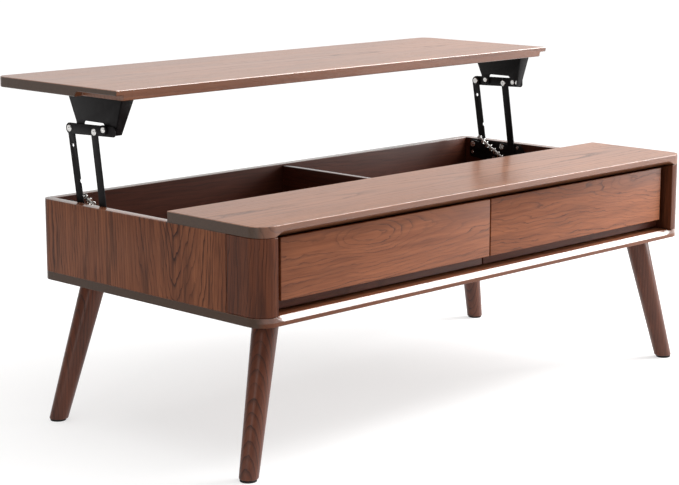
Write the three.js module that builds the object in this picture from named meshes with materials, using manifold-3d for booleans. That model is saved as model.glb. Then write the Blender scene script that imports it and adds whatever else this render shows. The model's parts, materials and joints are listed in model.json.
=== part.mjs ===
// Lift top coffee table. Millimetres, +Z up, +X along the length, drawers towards -Y.
import * as THREE from "three";
import Module from "manifold-3d";

const wasm = await Module();
wasm.setup();

// ---- overall sizes ----
const length = 1200; // along X, case and tops
const depth = 600; // along Y, case
const closedHeight = 440; // floor to the top surface with the lift top down
const panelThickness = 19.7; // fixed top and lift top
const caseBottom = 268; // floor to the underside of the bottom board
const bottomThickness = 16;
const wall = 20; // side panels and back panel
const frontCornerRadius = 34;
const backCornerRadius = 22;
const joint = 0.3; // gap left at every glued or screwed seam

// ---- lift top ----
const liftDepth = 360; // front to back
const liftShift = 129; // how far back the top stands when it is up
const liftRise = 197; // how far up
const closedGap = 2.8; // between the two tops when the lift top is down
const swingGap = 0.6; // least clearance to the fixed top on the way down
const gripLength = 120; // finger grip under each end, from the front corner
const gripDepth = 18;
const gripHeight = 10;

// ---- front posts, drawers ----
const postWidth = 40; // along X
const postDepth = 86; // along Y
const bayWallInset = 20; // closed lift top's front edge to the front of the drawer bay wall
const bayWallThickness = 15;
const dividerThickness = 15;
const dividerOffset = 9; // storage divider's centre from the middle
const dividerDrop = 3; // below the rim
const frontRecess = 15; // drawer fronts behind the case's front
const frontThickness = 18;
const frontTopGap = 5;
const fingerGap = 22; // under the drawer fronts
const frontEndGap = 19; // beside the posts
const frontCenterGap = 3;
const boxFrontThickness = 12;
const boxFrontEndGap = 4;
const boxFrontTopGap = 12;
const boxFrontBottomGap = 4;
const boxSideThickness = 12;
const boxSideHeight = 108;
const boxRearGap = 9.4; // a drawer box to the bay wall
const boxFloorThickness = 5;
const boxFloorLift = 6;
const runnerWidth = 10;
const runnerHeight = 34;
const slideGap = 0.8; // each side of a drawer box
const glideGap = 0.5; // under a drawer box
const centerSupportThickness = 16;

// ---- edge bevels on the two front edges ----
const bevelHeight = 9;
const bevelRun = 9;
const bevelCutterOffset = 25; // the cutter's axis in front of the edge
const bevelEnd = 57; // from the case's end to the cutter's last position

// ---- legs ----
const footX = 600; // foot centres on the floor
const footY = 264;
const legTopX = 528; // leg centres under the bottom board
const legTopY = 234;
const footRadius = 17;
const legTopRadius = 23.5;
const glideRadius = 15;
const glideHeight = 4;
const boltRadius = 5;
const boltInLeg = 34;
const boltInBoard = 12;

// ---- lift mechanism, seen along X; layers counted from the side panel inwards ----
const armLength = 144.1; // pivot to pivot
const armSpacing = 78; // rear pivot to front pivot
const pivotFromBack = 52; // rear base pivot in front of the case's back
const pivotBelowRim = 11;
const armHalfWidth = 9.4;
const pinRadius = 4;
const runningGap = 0.1; // radial, pin in arm
const openPivotGap = 0.4; // radial, where a pin rides in a hole it is not held by
const plateThickness = 2.5;
const armThickness = 2.5;
const layerGap = 0.6;
const headThickness = 1.3;
const headRadius = 6.5;
const rearElbow = [-30, -5]; // arm bends, from the base pivot
const frontElbow = [-27.6, -6];
const stopReach = [-26, 6]; // front arm's head, from its top pivot
const couplerReach = 54; // coupler ahead of the front top pivot
const couplerHalfHeight = 9.5;
const bracketRivets = [-29, -108, -121]; // along the coupler, from the rear top pivot
const rivetRadius = 3;
const bracketFlange = 28; // at the top
const bracketFlangeToe = 15; // at the foot of the front flange
const springAnchor = [-188, -74]; // on the base plate, from the rear base pivot
const springStudReach = 33; // on the rear arm, from the same pivot
const springRadius = 5.5;
const wireRadius = 1.3;
const springTurns = 12;
const guideRadius = 2.4;
const eyeRadius = 6;
const eyeThickness = 5;
const collarRadius = 7;
const collarThickness = 3;
const collarLead = 13; // from an eye's centre
const studRadius = 3;

// ---- looks ----
const paint = (name, color, roughness, metalness) =>
  Object.assign(new THREE.MeshStandardMaterial({ color, roughness, metalness }), { name });
const wood = paint("walnut_stained_ash", 0x7a4630, 0.42, 0);
const topWood = paint("walnut_stained_ash_top", 0x8a5a44, 0.35, 0);
const innerWood = paint("stained_interior", 0x4a241b, 0.5, 0);
const boxWood = paint("drawer_box_wood", 0x9a7a5c, 0.6, 0);
const blackSteel = paint("black_powder_coat", 0x1c1a1b, 0.5, 0.4);
const nickel = paint("nickel_plated_steel", 0xc9c9c6, 0.28, 1);
const glideFelt = paint("foot_glide", 0x1a1715, 0.8, 0);

// ---- derived heights and positions ----
const halfLength = length / 2;
const halfDepth = depth / 2;
const rim = closedHeight - panelThickness - joint;
const boardTop = caseBottom + bottomThickness;
const innerX = halfLength - wall;
const innerBack = halfDepth - wall;
const bayWallFront = halfDepth - liftDepth - bayWallInset;
const bayWallBack = bayWallFront + bayWallThickness;
const frontFace = -halfDepth + frontRecess;
const boxFace = frontFace + frontThickness + joint;
const boxStart = boxFace + boxFrontThickness + joint;
const liftUnderside = rim + joint + liftRise;
const liftBack = halfDepth + liftShift;
const liftFront = liftBack - liftDepth;

// ---- solids ----
const solid = (geometry) => {
  const flat = geometry.index ? geometry.toNonIndexed() : geometry;
  const position = flat.getAttribute("position");
  const seen = new Map();
  const points = [];
  const faces = [];
  const p = new THREE.Vector3();
  for (let i = 0; i < position.count; i++) {
    p.fromBufferAttribute(position, i);
    const key = p.toArray().map((v) => Math.round(v * 1e4)).join();
    if (!seen.has(key)) {
      seen.set(key, points.length / 3);
      points.push(p.x, p.y, p.z);
    }
    faces.push(seen.get(key));
  }
  const kept = [];
  for (let i = 0; i < faces.length; i += 3) {
    const [a, b, c] = faces.slice(i, i + 3);
    if (a !== b && b !== c && c !== a) kept.push(a, b, c);
  }
  const mesh = new wasm.Mesh({
    numProp: 3,
    vertProperties: new Float32Array(points),
    triVerts: new Uint32Array(kept),
  });
  mesh.merge();
  return new wasm.Manifold(mesh);
};

const geometryOf = (body) => {
  const mesh = body.getMesh();
  const geometry = new THREE.BufferGeometry();
  const stride = mesh.numProp;
  const position = new Float32Array(mesh.numVert * 3);
  for (let i = 0; i < mesh.numVert; i++) {
    position.set(mesh.vertProperties.subarray(i * stride, i * stride + 3), i * 3);
  }
  geometry.setAttribute("position", new THREE.BufferAttribute(position, 3));
  geometry.setIndex(new THREE.BufferAttribute(new Uint32Array(mesh.triVerts), 1));
  const flat = geometry.toNonIndexed();
  flat.computeVertexNormals();
  return flat;
};

const table = new THREE.Group();
table.name = "lift_top_coffee_table";
const add = (name, body, material) => {
  const mesh = new THREE.Mesh(geometryOf(body), material);
  mesh.name = name;
  table.add(mesh);
};

const box = (x0, x1, y0, y1, z0, z1) =>
  solid(
    new THREE.BoxGeometry(x1 - x0, y1 - y0, z1 - z0).translate(
      (x0 + x1) / 2,
      (y0 + y1) / 2,
      (z0 + z1) / 2,
    ),
  );

const extrude = (shape, height, segments = 6) =>
  new THREE.ExtrudeGeometry(shape, { depth: height, bevelEnabled: false, curveSegments: segments });

// A board of the case's plan outline, with rounded corners where a radius is given.
const planBoard = (x, y0, y1, front, back, z0, z1) => {
  const s = new THREE.Shape();
  s.moveTo(-x + front, y0);
  s.lineTo(x - front, y0);
  if (front) s.absarc(x - front, y0 + front, front, -Math.PI / 2, 0, false);
  s.lineTo(x, y1 - back);
  if (back) s.absarc(x - back, y1 - back, back, 0, Math.PI / 2, false);
  s.lineTo(-x + back, y1);
  if (back) s.absarc(-x + back, y1 - back, back, Math.PI / 2, Math.PI, false);
  s.lineTo(-x, y0 + front);
  if (front) s.absarc(-x + front, y0 + front, front, Math.PI, Math.PI * 1.5, false);
  return solid(extrude(s, z1 - z0, 8).translate(0, 0, z0));
};

// A plate drawn in the Y-Z plane; layer is its outer face's distance from the left side panel.
const toSide = new THREE.Matrix4().makeBasis(
  new THREE.Vector3(0, 1, 0),
  new THREE.Vector3(0, 0, 1),
  new THREE.Vector3(1, 0, 0),
);
const plate = (shape, layer, thickness, segments) =>
  solid(
    extrude(shape, thickness, segments)
      .applyMatrix4(toSide)
      .translate(-innerX + layer, 0, 0),
  );

const polygon = (points) => {
  const s = new THREE.Shape();
  points.forEach(([y, z], i) => (i ? s.lineTo(y, z) : s.moveTo(y, z)));
  return s;
};

// A flat link with round ends.
const link = (a, b, radius) => {
  const turn = Math.atan2(b[1] - a[1], b[0] - a[0]);
  const s = new THREE.Shape();
  s.absarc(a[0], a[1], radius, turn + Math.PI / 2, turn + Math.PI * 1.5, false);
  s.absarc(b[0], b[1], radius, turn - Math.PI / 2, turn + Math.PI / 2, false);
  return s;
};

const rod = ([y, z], radius, layer, end, segments = 16) =>
  solid(
    new THREE.CylinderGeometry(radius, radius, end - layer, segments)
      .rotateZ(Math.PI / 2)
      .translate(-innerX + (layer + end) / 2, y, z),
  );

const joined = (...bodies) => bodies.reduce((a, b) => a.add(b));
const cut = (body, ...cutters) => cutters.reduce((a, b) => a.subtract(b), body);
const shifted = ([y, z], [dy, dz]) => [y + dy, z + dz];

// ---- bevel cutter: a cone swept along the front edge; up is +1 for an upper edge ----
const bevelCutter = (edgeZ, up) => {
  const over = 1;
  const low = bevelCutterOffset;
  const high = bevelCutterOffset + bevelRun * (1 + over / bevelHeight);
  const height = bevelHeight + over;
  const cone = new THREE.CylinderGeometry(up > 0 ? high : low, up > 0 ? low : high, height, 32);
  cone.rotateX(Math.PI / 2);
  const y = -halfDepth - bevelCutterOffset;
  const z = up > 0 ? edgeZ - bevelHeight + height / 2 : edgeZ + bevelHeight - height / 2;
  const end = halfLength - bevelEnd;
  const ends = [-end, end].map((x) => solid(cone.clone().translate(x, y, z)));
  return wasm.Manifold.hull(ends);
};

// ---- case ----
const outline = planBoard(
  halfLength, -halfDepth, halfDepth, frontCornerRadius, backCornerRadius, boardTop + joint, rim,
);
const legs = [];
for (const [end, sy] of [["front", -1], ["rear", 1]]) {
  for (const [side, sx] of [["left", -1], ["right", 1]]) legs.push({ name: `${end}_${side}`, sx, sy });
}
const boltAt = ({ sx, sy }, z0, z1, radius) =>
  solid(
    new THREE.CylinderGeometry(radius, radius, z1 - z0, 16)
      .rotateX(Math.PI / 2)
      .translate(sx * legTopX, sy * legTopY, (z0 + z1) / 2),
  );

const bottomBoard = planBoard(
  halfLength, -halfDepth, halfDepth, frontCornerRadius, backCornerRadius, caseBottom, boardTop,
);
add(
  "bottom_board",
  cut(
    bottomBoard,
    bevelCutter(boardTop, 1),
    ...legs.map((l) => boltAt(l, caseBottom - 1, caseBottom + boltInBoard + joint, boltRadius + joint)),
  ),
  wood,
);

const fixedBack = liftFront - liftShift - closedGap;
const fixedTop = planBoard(
  halfLength, -halfDepth, fixedBack, frontCornerRadius, 0, rim + joint, closedHeight,
);
add("fixed_top_panel", cut(fixedTop, bevelCutter(rim + joint, -1)), topWood);

const sidePanel = outline.intersect(
  box(-halfLength - 1, -innerX, -halfDepth + postDepth + joint, halfDepth + 1, boardTop, rim + 1),
);
add("side_panel_left", sidePanel, wood);
add("side_panel_right", sidePanel.mirror([1, 0, 0]), wood);
const post = outline.intersect(
  box(-halfLength - 1, -halfLength + postWidth, -halfDepth - 1, -halfDepth + postDepth, boardTop, rim + 1),
);
add("corner_post_left", post, wood);
add("corner_post_right", post.mirror([1, 0, 0]), wood);
add(
  "back_panel",
  outline.intersect(box(-innerX + joint, innerX - joint, innerBack, halfDepth + 1, boardTop, rim + 1)),
  wood,
);
add(
  "drawer_bay_wall",
  box(-innerX + joint, innerX - joint, bayWallFront, bayWallBack, boardTop + joint, rim),
  innerWood,
);
add(
  "drawer_bay_center_support",
  box(
    -centerSupportThickness / 2, centerSupportThickness / 2,
    boxStart + 2, bayWallFront - joint, boardTop + joint, rim,
  ),
  innerWood,
);
add(
  "storage_divider",
  box(
    dividerOffset - dividerThickness / 2, dividerOffset + dividerThickness / 2,
    bayWallBack + joint, innerBack - joint, boardTop + joint, rim - dividerDrop,
  ),
  innerWood,
);

// ---- legs: tapered, splayed, cut level at the floor and under the board ----
const legLean = new THREE.Vector3(legTopX - footX, legTopY - footY, caseBottom);
for (const leg of legs) {
  const axis = new THREE.Vector3(leg.sx * legLean.x, leg.sy * legLean.y, legLean.z);
  const over = 0.12;
  const growth = (legTopRadius - footRadius) * over;
  const taper = new THREE.CylinderGeometry(
    legTopRadius + growth, footRadius - growth, axis.length() * (1 + 2 * over), 32,
  );
  taper.applyQuaternion(
    new THREE.Quaternion().setFromUnitVectors(new THREE.Vector3(0, 1, 0), axis.clone().normalize()),
  );
  const middle = [(leg.sx * (footX + legTopX)) / 2, (leg.sy * (footY + legTopY)) / 2];
  taper.translate(middle[0], middle[1], caseBottom / 2);
  const reach = halfLength + 200;
  const slab = box(-reach, reach, -reach, reach, glideHeight + joint, caseBottom - joint);
  add(
    `leg_${leg.name}`,
    cut(
      solid(taper).intersect(slab),
      boltAt(leg, caseBottom - boltInLeg - joint, caseBottom + 1, boltRadius + joint),
    ),
    wood,
  );
  add(
    `leg_bolt_${leg.name}`,
    boltAt(leg, caseBottom - boltInLeg, caseBottom + boltInBoard, boltRadius),
    nickel,
  );
  add(
    `foot_glide_${leg.name}`,
    solid(
      new THREE.CylinderGeometry(glideRadius, glideRadius, glideHeight, 16)
        .rotateX(Math.PI / 2)
        .translate(leg.sx * footX, leg.sy * footY, glideHeight / 2),
    ),
    glideFelt,
  );
}

// ---- drawers: drawn on the right, mirrored to the left ----
const postInner = halfLength - postWidth;
const boxIn = centerSupportThickness / 2 + joint + runnerWidth + slideGap;
const boxOut = postInner - joint - runnerWidth - slideGap;
const boxBack = bayWallFront - boxRearGap;
const boxLow = boardTop + glideGap;
const floorLow = boxLow + boxFloorLift;
const innerIn = boxIn + boxSideThickness + joint;
const innerOut = boxOut - boxSideThickness - joint;
const drawerPieces = {
  front: [
    box(
      frontCenterGap / 2, postInner - frontEndGap,
      frontFace, frontFace + frontThickness, boardTop + fingerGap, rim - frontTopGap,
    ),
    wood,
  ],
  box_front: [
    box(
      frontCenterGap / 2, postInner - boxFrontEndGap,
      boxFace, boxFace + boxFrontThickness, boardTop + boxFrontBottomGap, rim - boxFrontTopGap,
    ),
    innerWood,
  ],
  box_inner_side: [
    box(boxIn, boxIn + boxSideThickness, boxStart, boxBack, boxLow, boxLow + boxSideHeight),
    boxWood,
  ],
  box_outer_side: [
    box(boxOut - boxSideThickness, boxOut, boxStart, boxBack, boxLow, boxLow + boxSideHeight),
    boxWood,
  ],
  box_back: [
    box(innerIn, innerOut, boxBack - boxSideThickness, boxBack, boxLow, boxLow + boxSideHeight),
    boxWood,
  ],
  box_floor: [
    box(
      innerIn, innerOut,
      boxStart, boxBack - boxSideThickness - joint, floorLow, floorLow + boxFloorThickness,
    ),
    boxWood,
  ],
};
const runner = (x) =>
  box(x, x + runnerWidth, boxStart + 2, bayWallFront - joint, boardTop + joint, boardTop + runnerHeight);
const runners = {
  inner: runner(centerSupportThickness / 2 + joint),
  outer: runner(postInner - joint - runnerWidth),
};
for (const side of ["left", "right"]) {
  const place = (body) => (side === "left" ? body.mirror([1, 0, 0]) : body);
  for (const [piece, [body, material]] of Object.entries(drawerPieces)) {
    add(`drawer_${side}_${piece}`, place(body), material);
  }
  for (const [end, body] of Object.entries(runners)) {
    add(`drawer_runner_${side}_${end}`, place(body), innerWood);
  }
}

// ---- lift top ----
const liftTop = planBoard(
  halfLength, liftFront, liftBack, 0, backCornerRadius, liftUnderside, liftUnderside + panelThickness,
);
// The front face leans back towards the underside, which swings forward as the top comes down.
const swingAt = (drop) => {
  const closed = closedArm();
  const z = closed[1] + drop;
  return closed[0] + Math.sqrt(armLength ** 2 - z ** 2);
};
const lean = Math.max(0, swingAt(panelThickness) + swingGap - closedGap);
const frontLean = plate(
  polygon([
    [liftFront - 1, liftUnderside - 1],
    [liftFront + lean * (1 + 1 / panelThickness), liftUnderside - 1],
    [liftFront, liftUnderside + panelThickness],
    [liftFront - 1, liftUnderside + panelThickness],
  ]),
  -wall - 1,
  length + 2,
);
const gripShape = new THREE.Shape();
gripShape.moveTo(liftFront - 1, liftUnderside - 1);
gripShape.lineTo(liftFront + gripLength, liftUnderside - 1);
gripShape.lineTo(liftFront + gripLength, liftUnderside);
gripShape.absarc(
  liftFront + gripLength - gripHeight, liftUnderside, gripHeight, 0, Math.PI / 2, false,
);
gripShape.lineTo(liftFront - 1, liftUnderside + gripHeight);
const grip = plate(gripShape, -wall - 1, gripDepth + 1);
add("lift_top_panel", cut(liftTop, frontLean, grip, grip.mirror([1, 0, 0])), topWood);

// ---- lift mechanism ----
// Up and down arm directions share one length, so the base pivot lies on their bisector.
function openArm() {
  const travel = Math.hypot(liftShift, liftRise);
  const off = Math.sqrt(armLength ** 2 - travel ** 2 / 4);
  return [
    liftShift / 2 - (off * liftRise) / travel,
    liftRise / 2 + (off * liftShift) / travel,
  ];
}
function closedArm() {
  const up = openArm();
  return [up[0] - liftShift, up[1] - liftRise];
}
const rearBase = [halfDepth - pivotFromBack, rim - pivotBelowRim];
const frontBase = shifted(rearBase, [-armSpacing, 0]);
const rearTop = shifted(rearBase, openArm());
const frontTop = shifted(frontBase, openArm());
const anchor = shifted(rearBase, springAnchor);
// The stud lies so that the spring is equally long with the top up and with it down.
const foldAngle = 2 * Math.asin(Math.hypot(liftShift, liftRise) / 2 / armLength);
const studAngle = Math.atan2(springAnchor[1], springAnchor[0]) - foldAngle / 2;
const stud = shifted(rearBase, [
  springStudReach * Math.cos(studAngle),
  springStudReach * Math.sin(studAngle),
]);

const layers = { base: joint };
layers.front = layers.base + plateThickness + layerGap;
layers.coupler = layers.front + armThickness + headThickness + 0.8;
layers.rear = layers.coupler + armThickness + layerGap;
layers.springLine = layers.rear + armThickness + headThickness + 1 + springRadius + wireRadius;

const hole = (at, radius, layer, thickness) => rod(at, radius, layer - 1, layer + thickness + 1);
const couplerEnd = shifted(frontTop, [-couplerReach, 4]);
const rivets = bracketRivets.map((dy) => shifted(rearTop, [dy, 4]));

const basePlate = joined(
  plate(
    polygon([
      [rearBase[0] + 18, rearBase[1] + pivotBelowRim - 2],
      [frontBase[0] - 50, rearBase[1] + pivotBelowRim - 2],
      [anchor[0] - 8, anchor[1] + 8],
      [anchor[0] + 6, anchor[1] - 9],
      [rearBase[0] - 40, rearBase[1] - 36],
      [rearBase[0] + 18, rearBase[1] - 30],
    ]),
    layers.base,
    plateThickness,
  ),
  rod(anchor, studRadius, layers.base + plateThickness - 0.5, layers.springLine + 4, 12),
  rod(anchor, studRadius + 1.6, layers.springLine + 3, layers.springLine + 4.5, 12),
);
const baseScrews = [[10, -20], [-52, -28], [-120, 2]].map((at) => shifted(rearBase, at));

const rearArm = joined(
  plate(link(rearTop, shifted(rearBase, rearElbow), armHalfWidth), layers.rear, armThickness, 6),
  plate(link(shifted(rearBase, rearElbow), rearBase, armHalfWidth - 0.6), layers.rear, armThickness, 6),
  rod(stud, studRadius, layers.rear + armThickness - 0.5, layers.springLine + 4, 12),
  rod(stud, studRadius + 1.6, layers.springLine + 3, layers.springLine + 4.5, 12),
);
const alongRear = (t, across) => {
  const foot = shifted(rearBase, rearElbow);
  const dy = foot[0] - rearTop[0];
  const dz = foot[1] - rearTop[1];
  const long = Math.hypot(dy, dz);
  return [rearTop[0] + (dy * t + dz * across) / long, rearTop[1] + (dz * t - dy * across) / long];
};
const rearHoles = [
  hole(rearTop, pinRadius + openPivotGap, layers.rear, armThickness),
  hole(rearBase, pinRadius + runningGap, layers.rear, armThickness),
  hole(alongRear(32, 0), 3.4, layers.rear, armThickness),
  hole(alongRear(99, armHalfWidth + 1), 4.2, layers.rear, armThickness),
];

const stopPin = shifted(frontTop, stopReach);
const frontArm = (topGap) =>
  cut(
    joined(
      plate(link(frontTop, shifted(frontBase, frontElbow), armHalfWidth), layers.front, armThickness, 6),
      plate(link(shifted(frontBase, frontElbow), frontBase, armHalfWidth - 0.6), layers.front, armThickness, 6),
      plate(link(frontTop, stopPin, armHalfWidth - 1), layers.front, armThickness, 6),
      rod(stopPin, headRadius - 1, layers.front - headThickness, layers.front + 0.5, 16),
    ),
    hole(frontTop, pinRadius + topGap, layers.front, armThickness),
    hole(frontBase, pinRadius + runningGap, layers.front, armThickness),
  );

const couplerShape = polygon([
  [rearTop[0], rearTop[1] + couplerHalfHeight],
  [rearTop[0], rearTop[1] - couplerHalfHeight],
  [couplerEnd[0] + 3, couplerEnd[1] - couplerHalfHeight],
  [couplerEnd[0], couplerEnd[1] - couplerHalfHeight + 4],
  [couplerEnd[0], couplerEnd[1] + couplerHalfHeight - 3],
  [couplerEnd[0] + 4, couplerEnd[1] + couplerHalfHeight],
]);
const coupler = joined(
  cut(
    joined(
      plate(couplerShape, layers.coupler, armThickness),
      rod(rearTop, couplerHalfHeight + 0.6, layers.coupler, layers.coupler + armThickness),
    ),
    hole(rearTop, pinRadius + joint, layers.coupler, armThickness),
    hole(frontTop, pinRadius + joint, layers.coupler, armThickness),
  ),
  ...rivets.map((at) =>
    rod(at, rivetRadius, layers.coupler + armThickness - 0.5, layers.rear + armThickness + 1, 12),
  ),
  ...rivets.map((at) =>
    rod(at, headRadius - 1, layers.rear + armThickness + joint, layers.rear + armThickness + 1.6, 12),
  ),
);

const bracketTop = liftUnderside - joint;
const bracketFront = [rearTop[0] - 151, bracketTop];
const bracketToe = [rearTop[0] - 130, rearTop[1] - 3];
const slotTop = rearTop[1] + 17;
const web = plate(
  polygon([
    [rearTop[0] + 6, bracketTop],
    bracketFront,
    bracketToe,
    [rivets[1][0] + 9, rearTop[1] - 5],
    [rivets[1][0] + 9, slotTop - 3],
    [rivets[1][0] + 12, slotTop],
    [rivets[0][0] - 14, slotTop],
    [rivets[0][0] - 11, slotTop - 3],
    [rivets[0][0] - 10, rearTop[1] - 5],
    [rivets[0][0] + 9, rearTop[1] - 5],
    [rearTop[0] - 18, rearTop[1] + 13],
  ]),
  layers.rear,
  plateThickness,
);
const flangeEnd = ([y, z], width, up) =>
  box(
    -innerX + layers.rear, -innerX + layers.rear + width,
    y, y + plateThickness, up > 0 ? z - 0.2 : z, up > 0 ? z : z + 0.2,
  );
const frontFlange = wasm.Manifold.hull([
  flangeEnd(bracketFront, bracketFlange, 1),
  flangeEnd(bracketToe, bracketFlangeToe, -1),
]);
const topFlange = box(
  -innerX + layers.rear, -innerX + layers.rear + bracketFlange,
  bracketFront[0], rearTop[0] + 4, bracketTop - plateThickness, bracketTop,
);
const topScrews = [-30, -75, -120].map((dy) =>
  solid(
    new THREE.CylinderGeometry(2.6, 2.6, plateThickness + 2, 12)
      .rotateX(Math.PI / 2)
      .translate(-innerX + layers.rear + 16, rearTop[0] + dy, bracketTop - plateThickness / 2),
  ),
);
const topBracket = cut(
  joined(web, frontFlange, topFlange),
  ...rivets.map((at) => rod(at, rivetRadius + joint, layers.rear - 1, layers.rear + plateThickness + 1, 12)),
  ...topScrews,
);

// A pin as coaxial steps: [radius, from layer, to layer].
const pin = (at, ...steps) => joined(...steps.map(([radius, from, to]) => rod(at, radius, from, to)));
const rearFace = layers.rear + armThickness;
const pins = {
  rear_base_pin: pin(
    rearBase,
    [pinRadius, layers.base + joint, rearFace + joint + headThickness],
    [pinRadius + 3.5, layers.base + plateThickness + joint, layers.rear - joint],
    [headRadius, rearFace + joint, rearFace + joint + headThickness],
  ),
  front_base_pin: pin(
    frontBase,
    [pinRadius, layers.base + joint, layers.front + armThickness + joint + headThickness],
    [headRadius, layers.front + armThickness + joint, layers.front + armThickness + joint + headThickness],
  ),
  rear_top_pin: pin(
    rearTop,
    [pinRadius, layers.coupler - joint - headThickness, rearFace + joint + headThickness],
    [headRadius, layers.coupler - joint - headThickness, layers.coupler - joint],
    [headRadius, rearFace + joint, rearFace + joint + headThickness],
  ),
  front_top_pin: pin(
    frontTop,
    [
      pinRadius,
      layers.front - joint - headThickness,
      layers.coupler + armThickness + joint + headThickness,
    ],
    [headRadius, layers.front - joint - headThickness, layers.front - joint],
    [headRadius - 0.5, layers.front + armThickness + joint, layers.coupler - joint],
    [
      headRadius,
      layers.coupler + armThickness + joint,
      layers.coupler + armThickness + joint + headThickness,
    ],
  ),
};

// Compression spring on a guide rod, with an eye on the stud at each end.
const springAxis = (() => {
  const centre = (at) => new THREE.Vector3(-innerX + layers.springLine, at[0], at[1]);
  const from = centre(stud);
  const to = centre(anchor);
  return { from, span: from.distanceTo(to), along: to.clone().sub(from).normalize() };
})();
const onSpring = (body) => {
  const { from, along } = springAxis;
  const across = new THREE.Vector3(1, 0, 0);
  const up = new THREE.Vector3().crossVectors(along, across);
  const m = new THREE.Matrix4().makeBasis(up, along, across).setPosition(from);
  return solid(body.applyMatrix4(m));
};
const springBar = (radius, from, to, segments = 12) =>
  onSpring(
    new THREE.CylinderGeometry(radius, radius, to - from, segments).translate(0, (from + to) / 2, 0),
  );
const coil = (() => {
  const start = collarLead + collarThickness / 2;
  const run = springAxis.span - 2 * start;
  const perTurn = 8;
  const sides = 4;
  const rings = springTurns * perTurn;
  const position = [];
  const index = [];
  for (let i = 0; i <= rings; i++) {
    const turn = (i / perTurn) * 2 * Math.PI;
    for (let k = 0; k < sides; k++) {
      const t = (k / sides) * 2 * Math.PI;
      const r = springRadius + wireRadius * Math.cos(t);
      position.push(
        r * Math.cos(turn),
        start + (run * i) / rings + wireRadius * Math.sin(t),
        -r * Math.sin(turn),
      );
    }
  }
  for (let i = 0; i < rings; i++) {
    for (let k = 0; k < sides; k++) {
      const n = (k + 1) % sides;
      const [p, q, r, s] = [i * sides + k, i * sides + n, (i + 1) * sides + n, (i + 1) * sides + k];
      index.push(p, r, q, p, s, r);
    }
  }
  for (let k = 1; k < sides - 1; k++) {
    index.push(0, k, k + 1);
    index.push(rings * sides, rings * sides + k + 1, rings * sides + k);
  }
  const geometry = new THREE.BufferGeometry();
  geometry.setAttribute("position", new THREE.Float32BufferAttribute(position, 3));
  geometry.setIndex(index);
  return onSpring(geometry);
})();
const eyeLayer = layers.springLine - eyeThickness / 2;
const spring = cut(
  joined(
    coil,
    springBar(guideRadius, 0, springAxis.span),
    springBar(collarRadius, collarLead, collarLead + collarThickness, 16),
    springBar(
      collarRadius,
      springAxis.span - collarLead - collarThickness, springAxis.span - collarLead, 16,
    ),
    rod(stud, eyeRadius, eyeLayer, eyeLayer + eyeThickness),
    rod(anchor, eyeRadius, eyeLayer, eyeLayer + eyeThickness),
  ),
  hole(stud, studRadius + joint, eyeLayer, eyeThickness),
  hole(anchor, studRadius + joint, eyeLayer, eyeThickness),
);

const baseHoles = [
  hole(rearBase, pinRadius + joint, layers.base, plateThickness),
  hole(frontBase, pinRadius + joint, layers.base, plateThickness),
  ...baseScrews.map((at) => rod(at, 2.6, layers.base - 1, layers.base + plateThickness + 1, 12)),
];
for (const side of ["left", "right"]) {
  const place = (body) => (side === "left" ? body : body.mirror([1, 0, 0]));
  const front = frontArm(side === "left" ? runningGap : openPivotGap);
  add(`lift_base_plate_${side}`, place(cut(basePlate, ...baseHoles)), blackSteel);
  add(`lift_rear_arm_${side}`, place(cut(rearArm, ...rearHoles)), blackSteel);
  add(`lift_front_arm_${side}`, place(front), blackSteel);
  add(`lift_coupler_${side}`, place(coupler), blackSteel);
  add(`lift_top_bracket_${side}`, place(topBracket), blackSteel);
  add(`lift_spring_${side}`, place(spring), nickel);
  for (const [name, body] of Object.entries(pins)) add(`${name}_${side}`, place(body), nickel);
}

// Origin: on the floor, under the middle of the whole table as it stands with its top up.
table.position.y = -(liftBack - halfDepth) / 2;

export default table;
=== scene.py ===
"""Lift top coffee table: dark walnut-stained ash, black steel lift arms, nickel rivets and springs."""
import json
import math

import bmesh
import bpy
from mathutils import Matrix, Vector

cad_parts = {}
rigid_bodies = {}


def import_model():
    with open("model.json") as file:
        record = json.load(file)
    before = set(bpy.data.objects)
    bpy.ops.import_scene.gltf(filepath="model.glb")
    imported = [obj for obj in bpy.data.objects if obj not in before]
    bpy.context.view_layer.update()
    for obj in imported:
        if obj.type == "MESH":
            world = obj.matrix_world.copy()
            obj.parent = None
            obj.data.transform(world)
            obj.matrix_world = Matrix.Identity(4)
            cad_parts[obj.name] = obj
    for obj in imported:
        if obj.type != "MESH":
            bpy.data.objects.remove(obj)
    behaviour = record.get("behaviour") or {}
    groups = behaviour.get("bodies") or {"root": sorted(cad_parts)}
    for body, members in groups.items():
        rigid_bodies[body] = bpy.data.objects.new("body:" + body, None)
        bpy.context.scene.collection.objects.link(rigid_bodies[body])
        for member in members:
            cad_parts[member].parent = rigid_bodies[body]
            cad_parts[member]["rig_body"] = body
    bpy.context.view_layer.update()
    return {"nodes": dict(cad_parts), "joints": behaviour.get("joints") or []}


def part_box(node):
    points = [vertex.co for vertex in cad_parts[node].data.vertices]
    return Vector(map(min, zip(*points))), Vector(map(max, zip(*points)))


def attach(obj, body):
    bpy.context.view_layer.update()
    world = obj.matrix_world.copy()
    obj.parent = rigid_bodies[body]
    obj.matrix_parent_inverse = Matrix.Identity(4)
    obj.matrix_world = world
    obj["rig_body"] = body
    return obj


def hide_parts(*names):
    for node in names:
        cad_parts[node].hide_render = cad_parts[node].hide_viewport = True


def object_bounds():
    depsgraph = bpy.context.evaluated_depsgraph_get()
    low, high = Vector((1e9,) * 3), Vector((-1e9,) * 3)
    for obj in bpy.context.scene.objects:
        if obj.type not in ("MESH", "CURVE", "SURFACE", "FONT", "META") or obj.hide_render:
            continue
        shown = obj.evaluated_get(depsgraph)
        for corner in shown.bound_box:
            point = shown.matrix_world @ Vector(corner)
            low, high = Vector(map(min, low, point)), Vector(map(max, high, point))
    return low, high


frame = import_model()
JOINTS = {j["name"]: j for j in frame["joints"]}


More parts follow.
